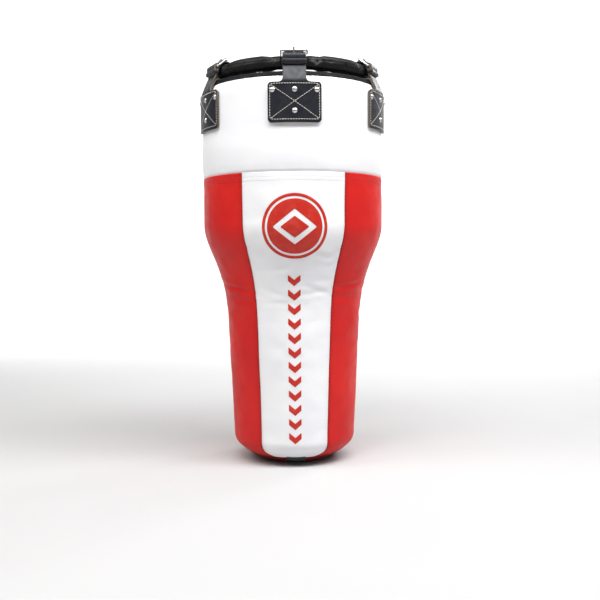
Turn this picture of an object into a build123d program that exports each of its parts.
"""Uppercut heavy bag: a stuffed, tapered cover hung from a padded steel hoop by buckled straps.

Frame: origin at the centre of the flat base, +Z up, -Y the front. Millimetres.
Azimuths are measured about +Z from the front (-Y) towards +X.
"""

from math import acos, atan2, cos, degrees, hypot, pi, radians, sin
import os

from build123d import *

os.makedirs("parts", exist_ok=True)

# --- driving dimensions -----------------------------------------------------------------------
BASE_FLAT_RADIUS = 65.0
LOWER_RADIUS = 149.5
WAIST_RADIUS = 161.5
DRUM_RADIUS = 219.5
COLLAR_RADIUS = 220.0
COLLAR_MIDDLE_RADIUS = 222.5

BASE_SEAM_HEIGHT = 24.0
CORNER_HEIGHT = 64.0
WAIST_HEIGHT = 336.0
DRUM_HEIGHT = 576.0
COLLAR_SEAM_HEIGHT = 690.0
SHOULDER_HEIGHT = 870.0
COVER_TOP_HEIGHT = 907.0
COVER_TOP_RADIUS = 206.8

SKIN = 3.0
SEAM_OVERLAP = 18.0
FRONT_PANEL_ARC = 64.0

LINER_GAP = 3.7
LINER_THICKNESS = 20.0
LINER_TOP_HEIGHT = 880.0
LID_HEIGHT = 884.0
LID_THICKNESS = 2.5
LID_RADIUS = 210.0

HOOP_RADIUS = 188.0
HOOP_HEIGHT = 935.0
SLEEVE_HALF_WIDTH = 11.0
SLEEVE_HALF_HEIGHT = 15.5
SLEEVE_SKIN = 1.5
HOOP_ROD_RADIUS = 6.0

HANGER_TURN = 1.5
SIDE_HANGER_ANGLE = 66.5
REAR_HANGER_ANGLE = 142.2
HANGERS = {
    "front": HANGER_TURN,
    "right": HANGER_TURN + SIDE_HANGER_ANGLE,
    "rear_right": HANGER_TURN + REAR_HANGER_ANGLE,
    "rear_left": HANGER_TURN - REAR_HANGER_ANGLE,
    "left": HANGER_TURN - SIDE_HANGER_ANGLE,
}

LEATHER = 2.6
LAYER_GAP = 0.3
STRAP_WIDTH = 52.0
PATCH_LOW = 797.0
PATCH_HIGH = 886.5
PATCH_WIDTH = 121.0
PATCH_CORNER = 9.0
TAIL_LOW = 812.0

BUCKLE_WIRE = 2.5
BUCKLE_LENGTH = 29.0
BUCKLE_TILT = 38.0
ROLLER_RADIUS = 4.5
RUNNING_GAP = 0.06
PRONG_WIRE = 1.8
HEEL_RADIAL = 204.0
HEEL_HEIGHT = 946.5

RIVET_SPACING_ANGLE = 12.8
RIVET_HIGH = 869.5
RIVET_LOW = 823.0
RIVET_HEAD_RADIUS = 6.0
RIVET_HEAD_HEIGHT = 3.0
RIVET_SHANK_RADIUS = 2.0
WASHER_RADIUS = 5.0
WASHER_THICKNESS = 1.4

BASE_STRAP_WIDTH = 46.0
BASE_STRAP_THICKNESS = 2.0
BASE_STRAP_RADIUS = 124.0

ZIP_LENGTH = 300.0

# --- places worked out from them --------------------------------------------------------------
tail_radius = COLLAR_RADIUS + LAYER_GAP + LEATHER / 2
patch_radius = tail_radius + LEATHER + LAYER_GAP
half_strap = STRAP_WIDTH / 2

fold_radius = BUCKLE_WIRE + LAYER_GAP + LEATHER / 2
over_heel_radius = fold_radius + LEATHER + LAYER_GAP
under_roller = ROLLER_RADIUS + LAYER_GAP + LEATHER / 2
heel = Vector(HEEL_RADIAL, HEEL_HEIGHT)
tilt = radians(BUCKLE_TILT)
roller = heel + Vector(-cos(tilt), sin(tilt)) * BUCKLE_LENGTH
prong_rise = ROLLER_RADIUS + 0.2 + PRONG_WIRE
prong_tip = roller + Vector(sin(tilt), cos(tilt)) * prong_rise
neck_radial = heel.X + fold_radius


def hanger_plane(azimuth):
    """Plane through the bag's axis: local x is the radius, local y is the height."""
    a = radians(azimuth)
    return Plane(origin=(0, 0, 0), x_dir=(sin(a), -cos(a), 0), z_dir=(-cos(a), -sin(a), 0))


def tangent_heading(start, end):
    """Heading, in radians, of the straight strap run between two (x, y, radius, turn) stations.

    A left turn is +1 and a right turn is -1; a station of radius 0 is a plain point.
    """
    dx, dy = end[0] - start[0], end[1] - start[1]
    change = end[2] * end[3] - start[2] * start[3]
    return atan2(dy, dx) + acos(change / hypot(dx, dy)) - pi / 2


def station_point(station, heading, shift):
    """Point where a run with this heading meets the station, shifted to the left of the run."""
    reach = shift - station[2] * station[3]
    return (station[0] - reach * sin(heading), station[1] + reach * cos(heading))


def side_edges(stations, shift):
    """Lines and arcs of one side of a strap that runs over the stations."""
    headings = [tangent_heading(a, b) for a, b in zip(stations, stations[1:])]
    corners = []
    for index, heading in enumerate(headings):
        start = station_point(stations[index], heading, shift)
        end = station_point(stations[index + 1], heading, shift)
        if index:
            turn = stations[index][3]
            swing = (heading - headings[index - 1]) * turn % (2 * pi) * turn
            middle = station_point(stations[index], headings[index - 1] + swing / 2, shift)
            ThreePointArc(corners[-1], middle, start)
        Line(start, end)
        corners += [start, end]
    return corners[0], corners[-1]


def strap_section(stations):
    """Closed side view of a strap of one leather's thickness over the stations."""
    with BuildSketch() as section:
        with BuildLine():
            left_start, left_end = side_edges(stations, LEATHER / 2)
            right_start, right_end = side_edges(stations, -LEATHER / 2)
            Line(left_start, right_start)
            Line(left_end, right_end)
        make_face()
    return section.sketch


def body_outline(inset):
    """Outline of the stuffed body, from the axis out and up, this far inside the cover's face."""
    with BuildLine() as outline:
        Line((0, inset), (BASE_FLAT_RADIUS, inset))
        Spline(
            (BASE_FLAT_RADIUS, inset),
            (112 - 0.35 * inset, 16 + 0.94 * inset),
            (135.5 - 0.7 * inset, 34 + 0.7 * inset),
            (LOWER_RADIUS - inset, CORNER_HEIGHT),
            tangents=((1, 0.08), (0.02, 1)),
        )
        Spline(
            (LOWER_RADIUS - inset, CORNER_HEIGHT),
            (154.6 - inset, 196),
            (WAIST_RADIUS - inset, WAIST_HEIGHT),
            (169.9 - inset, 416),
            (194.4 - inset, 496),
            (DRUM_RADIUS - 1 - inset, DRUM_HEIGHT),
            tangents=((0.02, 1), (0.03, 1)),
        )
        Line((DRUM_RADIUS - 1 - inset, DRUM_HEIGHT), (DRUM_RADIUS - inset, COLLAR_SEAM_HEIGHT))
    return outline.line


def wall_section(outer_inset, inner_inset):
    """Closed side view of one layer of the body between two insets."""
    outer = body_outline(outer_inset)
    inner = body_outline(inner_inset)
    with BuildSketch() as wall:
        with BuildLine():
            add(outer)
            add(inner)
            Line(outer @ 0, inner @ 0)
            Line(outer @ 1, inner @ 1)
        make_face()
    return wall.sketch


def radial_cutter(radius, azimuth, height, low, high):
    """Cylinder along the radius at this azimuth and height, from radius low to radius high."""
    a = radians(azimuth)
    out = (sin(a), -cos(a), 0)
    start = Plane(origin=(low * sin(a), -low * cos(a), height), z_dir=out)
    with BuildPart() as cutter:
        with BuildSketch(start):
            Circle(radius)
        extrude(amount=high - low)
    return cutter.part


def rivet_places(azimuth):
    """Azimuth and height of the four rivets of one hanger."""
    across = [azimuth - RIVET_SPACING_ANGLE, azimuth, azimuth + RIVET_SPACING_ANGLE]
    return [(place, RIVET_HIGH) for place in across] + [(azimuth, RIVET_LOW)]


all_rivets = [place for azimuth in HANGERS.values() for place in rivet_places(azimuth)]


def finish(builder, name):
    builder.part.label = name
    export_step(builder.part, f"parts/{name}.step")


# --- cover ------------------------------------------------------------------------------------
skin_section = wall_section(0, SKIN)


def cover_panel(start_azimuth, arc):
    """One sewn side panel of the body, between two upright seams."""
    with BuildPart() as panel:
        with BuildSketch(hanger_plane(start_azimuth)):
            add(skin_section)
        revolve(axis=Axis.Z, revolution_arc=arc)
        split(bisect_by=Plane.XY.offset(BASE_SEAM_HEIGHT), keep=Keep.TOP)
    return panel


side_panel_arc = 180.0 - FRONT_PANEL_ARC
panels = {
    "front_panel": (-FRONT_PANEL_ARC / 2, FRONT_PANEL_ARC),
    "right_side_panel": (FRONT_PANEL_ARC / 2, side_panel_arc),
    "back_panel": (180 - FRONT_PANEL_ARC / 2, FRONT_PANEL_ARC),
    "left_side_panel": (180 + FRONT_PANEL_ARC / 2, side_panel_arc),
}
for panel_name, (panel_start, panel_arc) in panels.items():
    finish(cover_panel(panel_start, panel_arc), panel_name)

with BuildPart() as base_strap:
    with BuildSketch(hanger_plane(HANGER_TURN)):
        add(wall_section(0, BASE_STRAP_THICKNESS))
    revolve(axis=Axis.Z, revolution_arc=360)
    with BuildSketch(Plane.XY.rotated((0, 0, HANGER_TURN))):
        Rectangle(BASE_STRAP_WIDTH, 2 * BASE_STRAP_RADIUS)
    extrude(amount=BASE_SEAM_HEIGHT - 1, mode=Mode.INTERSECT)
finish(base_strap, "base_strap")

with BuildPart() as base_panel:
    with BuildSketch(hanger_plane(0)):
        add(skin_section)
    revolve(axis=Axis.Z, revolution_arc=360)
    split(bisect_by=Plane.XY.offset(BASE_SEAM_HEIGHT), keep=Keep.BOTTOM)
    add(base_strap.part, mode=Mode.SUBTRACT)
finish(base_panel, "base_panel")

with BuildPart() as collar_panel:
    with BuildSketch(hanger_plane(0)):
        with BuildLine():
            tuck_radius = DRUM_RADIUS - SKIN - LAYER_GAP
            tuck_low = COLLAR_SEAM_HEIGHT - SEAM_OVERLAP
            Polyline(
                (COLLAR_RADIUS - SKIN, PATCH_LOW),
                (tuck_radius - SKIN, COLLAR_SEAM_HEIGHT),
                (tuck_radius - SKIN, tuck_low),
                (tuck_radius - 1, tuck_low),
                (tuck_radius - 1, COLLAR_SEAM_HEIGHT + LAYER_GAP),
                (DRUM_RADIUS, COLLAR_SEAM_HEIGHT + LAYER_GAP),
            )
            Spline(
                (DRUM_RADIUS, COLLAR_SEAM_HEIGHT + LAYER_GAP),
                (COLLAR_MIDDLE_RADIUS, 756),
                (COLLAR_RADIUS, PATCH_LOW),
                tangents=((0.06, 1), (0, 1)),
            )
            Line((COLLAR_RADIUS, PATCH_LOW), (COLLAR_RADIUS, SHOULDER_HEIGHT))
            TangentArc(
                (COLLAR_RADIUS, SHOULDER_HEIGHT),
                (COVER_TOP_RADIUS, COVER_TOP_HEIGHT),
                tangent=(0, 1),
            )
            Line((COVER_TOP_RADIUS, COVER_TOP_HEIGHT), (COVER_TOP_RADIUS - SKIN, COVER_TOP_HEIGHT))
            TangentArc(
                (COLLAR_RADIUS - SKIN, SHOULDER_HEIGHT),
                (COVER_TOP_RADIUS - SKIN, COVER_TOP_HEIGHT),
                tangent=(0, 1),
            )
            Line((COLLAR_RADIUS - SKIN, SHOULDER_HEIGHT), (COLLAR_RADIUS - SKIN, PATCH_LOW))
        make_face()
    revolve(axis=Axis.Z, revolution_arc=360)
    for azimuth, height in all_rivets:
        add(radial_cutter(RIVET_SHANK_RADIUS, azimuth, height, 212, 224), mode=Mode.SUBTRACT)
finish(collar_panel, "collar_panel")

with BuildPart() as top_binding:
    with BuildSketch(hanger_plane(0)):
        with Locations((COVER_TOP_RADIUS - 2.6, COVER_TOP_HEIGHT + 3.6)):
            Rectangle(7.0, 6.8)
        chamfer(vertices(), 1.5)
    revolve(axis=Axis.Z, revolution_arc=360)
finish(top_binding, "top_binding")

with BuildPart() as top_lid:
    with BuildSketch(Plane.XY.offset(LID_HEIGHT)):
        Circle(LID_RADIUS)
    extrude(amount=LID_THICKNESS)
finish(top_lid, "top_lid")

# --- lining and filling -----------------------------------------------------------------------


def filled_section(inset):
    """Side view of everything inside the cover, this far inside its outer face."""
    outline = body_outline(inset)
    with BuildSketch() as form:
        with BuildLine():
            add(outline)
            Polyline(
                outline @ 1,
                ((outline @ 1).X, LINER_TOP_HEIGHT),
                (0, LINER_TOP_HEIGHT),
                outline @ 0,
            )
        make_face()
    return form.sketch


liner_inset = SKIN + LINER_GAP
fill_inset = liner_inset + LINER_THICKNESS

with BuildPart() as fill_core:
    with BuildSketch(hanger_plane(0)):
        add(filled_section(fill_inset))
    revolve(axis=Axis.Z, revolution_arc=360)
finish(fill_core, "fill_core")

with BuildPart() as foam_liner:
    with BuildSketch(hanger_plane(0)):
        add(filled_section(liner_inset))
        add(filled_section(fill_inset - 0.05), mode=Mode.SUBTRACT)
    revolve(axis=Axis.Z, revolution_arc=360)
finish(foam_liner, "foam_liner")

# --- hoop -------------------------------------------------------------------------------------
hoop_centre = (HOOP_RADIUS, HOOP_HEIGHT)


def stadium(inset):
    """Upright oval section of the padded hoop, this far inside its outer face."""
    tall = 2 * (SLEEVE_HALF_HEIGHT - inset)
    wide = 2 * (SLEEVE_HALF_WIDTH - inset)
    with BuildSketch() as oval:
        with Locations(hoop_centre):
            SlotOverall(tall, wide, rotation=90)
    return oval.sketch


with BuildPart() as hoop_rod:
    with BuildSketch(hanger_plane(0)):
        with Locations(hoop_centre):
            Circle(HOOP_ROD_RADIUS)
    revolve(axis=Axis.Z, revolution_arc=360)
finish(hoop_rod, "hoop_rod")

with BuildPart() as hoop_padding:
    with BuildSketch(hanger_plane(0)):
        add(stadium(SLEEVE_SKIN + 0.1))
        with Locations(hoop_centre):
            Circle(HOOP_ROD_RADIUS + 0.1, mode=Mode.SUBTRACT)
    revolve(axis=Axis.Z, revolution_arc=360)
finish(hoop_padding, "hoop_padding")

with BuildPart() as hoop_sleeve:
    with BuildSketch(hanger_plane(0)):
        add(stadium(0))
        add(stadium(SLEEVE_SKIN), mode=Mode.SUBTRACT)
    revolve(axis=Axis.Z, revolution_arc=360)
finish(hoop_sleeve, "hoop_sleeve")

# --- strap routes, side view: (radius from the axis, height, bend radius, turn) -----------------
bend_centre = (patch_radius - 10, 888.0)
buckle_route = [
    (patch_radius, PATCH_HIGH - 2.5, 0, 0),
    (*bend_centre, 10.0, 1),
    (neck_radial + 12, 928.0, 12.0, -1),
    (heel.X, heel.Y, fold_radius, 1),
    (neck_radial - LEATHER - LAYER_GAP - 4, heel.Y - 10.5, 4.0, -1),
    (neck_radial - LEATHER - LAYER_GAP, heel.Y - 23, 0, 0),
]

wrap_low = HOOP_HEIGHT - SLEEVE_HALF_HEIGHT + SLEEVE_HALF_WIDTH
wrap_radius = SLEEVE_HALF_WIDTH + LEATHER / 2 + 1.4
floor_height = wrap_low - wrap_radius
run_over_heel = tangent_heading((roller.X, roller.Y, under_roller, 1), (heel.X, heel.Y, over_heel_radius, -1))
roller_touch = station_point((roller.X, roller.Y, under_roller, 1), run_over_heel, 0)
slack_radius = 8.0
slack_centre = (
    roller_touch[0] + slack_radius * sin(run_over_heel),
    roller_touch[1] - slack_radius * cos(run_over_heel),
)
billet_route = [
    (tail_radius, PATCH_HIGH + 0.8, 0, 0),
    (*bend_centre, 10.0 - LEATHER - LAYER_GAP, 1),
    (COVER_TOP_RADIUS - 3.3, floor_height - 6, 6.0, 1),
    (HOOP_RADIUS - 1, wrap_low, wrap_radius, -1),
    (*slack_centre, slack_radius, -1),
    (heel.X, heel.Y, over_heel_radius, -1),
    (heel.X + over_heel_radius, heel.Y - 18.3, 0, 0),
]

# --- hangers ----------------------------------------------------------------------------------


def curved_plate(azimuth, radius, width, low, high):
    """Plate of one leather's thickness bent to the bag, centred on this azimuth."""
    arc = degrees(width / radius)
    with BuildPart() as plate:
        with BuildSketch(hanger_plane(azimuth - arc / 2)):
            with Locations((radius, (low + high) / 2)):
                Rectangle(LEATHER, high - low)
        revolve(axis=Axis.Z, revolution_arc=arc)
    return plate


def heel_frame(azimuth):
    """Plane across the strap at the heel bar: local x along the bar, local y up the buckle."""
    a = radians(azimuth)
    out = Vector(sin(a), -cos(a), 0)
    along = Vector(cos(a), sin(a), 0)
    normal = out * sin(tilt) + Vector(0, 0, cos(tilt))
    origin = out * heel.X + Vector(0, 0, heel.Y)
    return Plane(origin=origin, x_dir=along, z_dir=normal)


def bar_plane(azimuth, centre, offset_along):
    """Plane square to the heel bar, at this distance along it, with its origin at centre."""
    plane = hanger_plane(azimuth)
    a = radians(azimuth)
    out = Vector(sin(a), -cos(a), 0)
    along = Vector(cos(a), sin(a), 0)
    origin = out * centre.X + Vector(0, 0, centre.Y) + along * offset_along
    return Plane(origin=origin, x_dir=plane.x_dir, z_dir=along)


def buckle_strap(azimuth):
    """T-shaped leather: the riveted patch, the neck, and the fold that holds the heel bar."""
    plate = curved_plate(azimuth, patch_radius, PATCH_WIDTH, PATCH_LOW, PATCH_HIGH)
    with BuildPart() as strap:
        add(plate.part)
        fillet(strap.edges().filter_by(lambda e: abs(e.length - LEATHER) < 0.01), PATCH_CORNER)
        with BuildSketch(hanger_plane(azimuth)):
            add(strap_section(buckle_route))
        extrude(amount=half_strap, both=True)
        with BuildSketch(hanger_plane(azimuth)):
            with Locations((heel.X - 0.5, heel.Y + 1.5)):
                Rectangle(14, 14)
        extrude(amount=3.4, both=True, mode=Mode.SUBTRACT)
        for place, height in rivet_places(azimuth):
            add(radial_cutter(RIVET_SHANK_RADIUS, place, height, 219, 230), mode=Mode.SUBTRACT)
    return strap


def billet_strap(azimuth):
    """Strap that passes under the hoop, back over it and through the buckle."""
    plate = curved_plate(azimuth, tail_radius, STRAP_WIDTH, TAIL_LOW, PATCH_HIGH + 1.5)
    prong_rest = degrees(atan2(prong_tip.Y - heel.Y, prong_tip.X - heel.X))
    reach = 40.0
    sweep = [radians(prong_rest + 18 - step * 30) for step in range(5)]
    with BuildPart() as strap:
        add(plate.part)
        with BuildSketch(hanger_plane(azimuth)):
            add(strap_section(billet_route))
        extrude(amount=half_strap, both=True)
        with BuildSketch(hanger_plane(azimuth)):
            with BuildLine():
                fan = [(heel.X + reach * cos(a), heel.Y + reach * sin(a)) for a in sweep]
                Polyline((heel.X, heel.Y), *fan, (heel.X, heel.Y))
            make_face()
        extrude(amount=PRONG_WIRE + 1.0, both=True, mode=Mode.SUBTRACT)
        for place, height in rivet_places(azimuth):
            if place == azimuth:
                add(radial_cutter(RIVET_SHANK_RADIUS, place, height, 219, 230), mode=Mode.SUBTRACT)
    return strap


def keeper(azimuth):
    """Leather loop round the neck, its fold and the billet's free end, below the heel bar."""
    inner = neck_radial - 2.5 * LEATHER + LAYER_GAP
    outer = heel.X + over_heel_radius + LEATHER / 2 + LAYER_GAP
    loop_low = heel.Y - 17.0
    wall = 2.0
    middle = Vector((inner + outer) / 2, loop_low)
    a = radians(azimuth)
    along = Vector(cos(a), sin(a), 0)
    origin = Vector(sin(a), -cos(a), 0) * middle.X + Vector(0, 0, loop_low)
    with BuildPart() as loop:
        with BuildSketch(Plane(origin=origin, x_dir=along, z_dir=(0, 0, 1))):
            hole_width = STRAP_WIDTH + 2 * LAYER_GAP
            RectangleRounded(hole_width + 2 * wall, outer - inner + 2 * wall, 2.2)
            Rectangle(hole_width, outer - inner, mode=Mode.SUBTRACT)
        extrude(amount=9.0)
    return loop


def buckle_frame(azimuth):
    """Bent steel wire: heel bar, two side bars and the bar that carries the roller."""
    half_width = half_strap + 1.3 + BUCKLE_WIRE
    corner = 5.0
    with BuildSketch(heel_frame(azimuth)) as centre_line:
        with Locations((0, BUCKLE_LENGTH / 2)):
            RectangleRounded(2 * half_width, BUCKLE_LENGTH, corner)
    path = centre_line.sketch.face().outer_wire()
    with BuildPart() as frame:
        with BuildSketch(Plane(origin=path @ 0, z_dir=path % 0)):
            Circle(BUCKLE_WIRE)
        sweep(path=path)
    return frame


def roller_tube(azimuth):
    half_length = half_strap - 4.2
    with BuildPart() as tube:
        with BuildSketch(bar_plane(azimuth, roller, -half_length)):
            Circle(ROLLER_RADIUS)
            Circle(BUCKLE_WIRE + RUNNING_GAP, mode=Mode.SUBTRACT)
        extrude(amount=2 * half_length)
    return tube


def prong(azimuth):
    """Tongue: an eye that turns on the heel bar and a shank that rests on the roller."""
    a = radians(azimuth)
    out = Vector(sin(a), -cos(a), 0)
    base = out * heel.X + Vector(0, 0, heel.Y)
    tip = out * prong_tip.X + Vector(0, 0, prong_tip.Y)
    way = (tip - base).normalized()
    eye = BUCKLE_WIRE + RUNNING_GAP
    with BuildPart() as tongue:
        with BuildSketch(bar_plane(azimuth, heel, -PRONG_WIRE - 0.6)):
            Circle(eye + 2.0)
            Circle(eye, mode=Mode.SUBTRACT)
        extrude(amount=2 * PRONG_WIRE + 1.2)
        with BuildSketch(Plane(origin=base + way * (eye + 0.4), z_dir=way)):
            Circle(PRONG_WIRE)
        extrude(amount=(tip - base).length - eye + 1.0)
    return tongue


for hanger_name, hanger_azimuth in HANGERS.items():
    finish(buckle_strap(hanger_azimuth), f"buckle_strap_{hanger_name}")
    finish(billet_strap(hanger_azimuth), f"billet_strap_{hanger_name}")
    finish(keeper(hanger_azimuth), f"keeper_{hanger_name}")
    finish(buckle_frame(hanger_azimuth), f"buckle_frame_{hanger_name}")
    finish(roller_tube(hanger_azimuth), f"roller_{hanger_name}")
    finish(prong(hanger_azimuth), f"prong_{hanger_name}")

# --- rivets and their washers -----------------------------------------------------------------
head_base = patch_radius + LEATHER / 2
washer_face = COLLAR_RADIUS - SKIN - 0.3

with BuildPart() as rivets:
    for azimuth, height in all_rivets:
        plane = hanger_plane(azimuth)
        a = radians(azimuth)
        rivet_axis = Axis((0, 0, height), (sin(a), -cos(a), 0))
        with BuildSketch(plane):
            with BuildLine():
                dome_top = head_base + RIVET_HEAD_HEIGHT
                shank_end = washer_face - WASHER_THICKNESS
                shank = RIVET_SHANK_RADIUS - 0.05
                ThreePointArc(
                    (dome_top, height),
                    (head_base + 0.72 * RIVET_HEAD_HEIGHT, height + 0.62 * RIVET_HEAD_RADIUS),
                    (head_base, height + RIVET_HEAD_RADIUS),
                )
                Polyline(
                    (head_base, height + RIVET_HEAD_RADIUS),
                    (head_base, height + shank),
                    (shank_end, height + shank),
                    (shank_end, height),
                    (dome_top, height),
                )
            make_face()
        revolve(axis=rivet_axis, revolution_arc=360)
finish(rivets, "rivets")

with BuildPart() as rivet_washers:
    for azimuth, height in all_rivets:
        a = radians(azimuth)
        low = washer_face - WASHER_THICKNESS
        start = Plane(
            origin=(low * sin(a), -low * cos(a), height), z_dir=(sin(a), -cos(a), 0)
        )
        with BuildSketch(start):
            Circle(WASHER_RADIUS)
            Circle(RIVET_SHANK_RADIUS, mode=Mode.SUBTRACT)
        extrude(amount=WASHER_THICKNESS - 0.1)
finish(rivet_washers, "rivet_washers")

# --- filling zip in the lid -------------------------------------------------------------------
zip_base = LID_HEIGHT + LID_THICKNESS
tape_thickness = 0.8
coil_width = 6.0
coil_height = 1.8

with BuildPart() as zip_tape:
    with BuildSketch(Plane.XY.offset(zip_base)):
        RectangleRounded(ZIP_LENGTH + 20, 32, 3)
    extrude(amount=tape_thickness)
finish(zip_tape, "zip_tape")

with BuildPart() as zip_coil:
    with BuildSketch(Plane.XY.offset(zip_base + tape_thickness)):
        Rectangle(ZIP_LENGTH, coil_width)
    extrude(amount=coil_height)
finish(zip_coil, "zip_coil")

slider_x = -ZIP_LENGTH / 2 + 12
slider_low = zip_base + tape_thickness + 0.2
slider_top = slider_low + 5.4
slider_gap = 0.2
pin_height = slider_top + 1.6

with BuildPart() as zip_slider:
    with BuildSketch(Plane.XY.offset(slider_low)):
        with Locations((slider_x, 0)):
            RectangleRounded(14, 11, 2.5)
    extrude(amount=slider_top - slider_low)
    with BuildSketch(Plane.XY.offset(slider_low)):
        with Locations((slider_x, 0)):
            Rectangle(20, coil_width + 2 * slider_gap)
    extrude(amount=coil_height + slider_gap, mode=Mode.SUBTRACT)
    with BuildSketch(Plane.XZ.offset(-2.2)):
        with Locations((slider_x, pin_height)):
            Circle(2.6)
    extrude(amount=4.4)
    with BuildSketch(Plane.XZ.offset(-2.2)):
        with Locations((slider_x, pin_height)):
            Circle(1.2)
    extrude(amount=4.4, mode=Mode.SUBTRACT)
finish(zip_slider, "zip_slider")

with BuildPart() as zip_pull:
    with BuildSketch(Plane.XZ.offset(-3.4)):
        with Locations((slider_x, pin_height)):
            Circle(1.14)
    extrude(amount=6.8)
    with BuildSketch(Plane.XY.offset(pin_height - 0.9)):
        with Locations((slider_x + 11.8, 0)):
            RectangleRounded(26, 9, 1.2)
        with Locations((slider_x + 2.0, 0)):
            Rectangle(11, 5.4, mode=Mode.SUBTRACT)
    extrude(amount=1.8)
finish(zip_pull, "zip_pull")
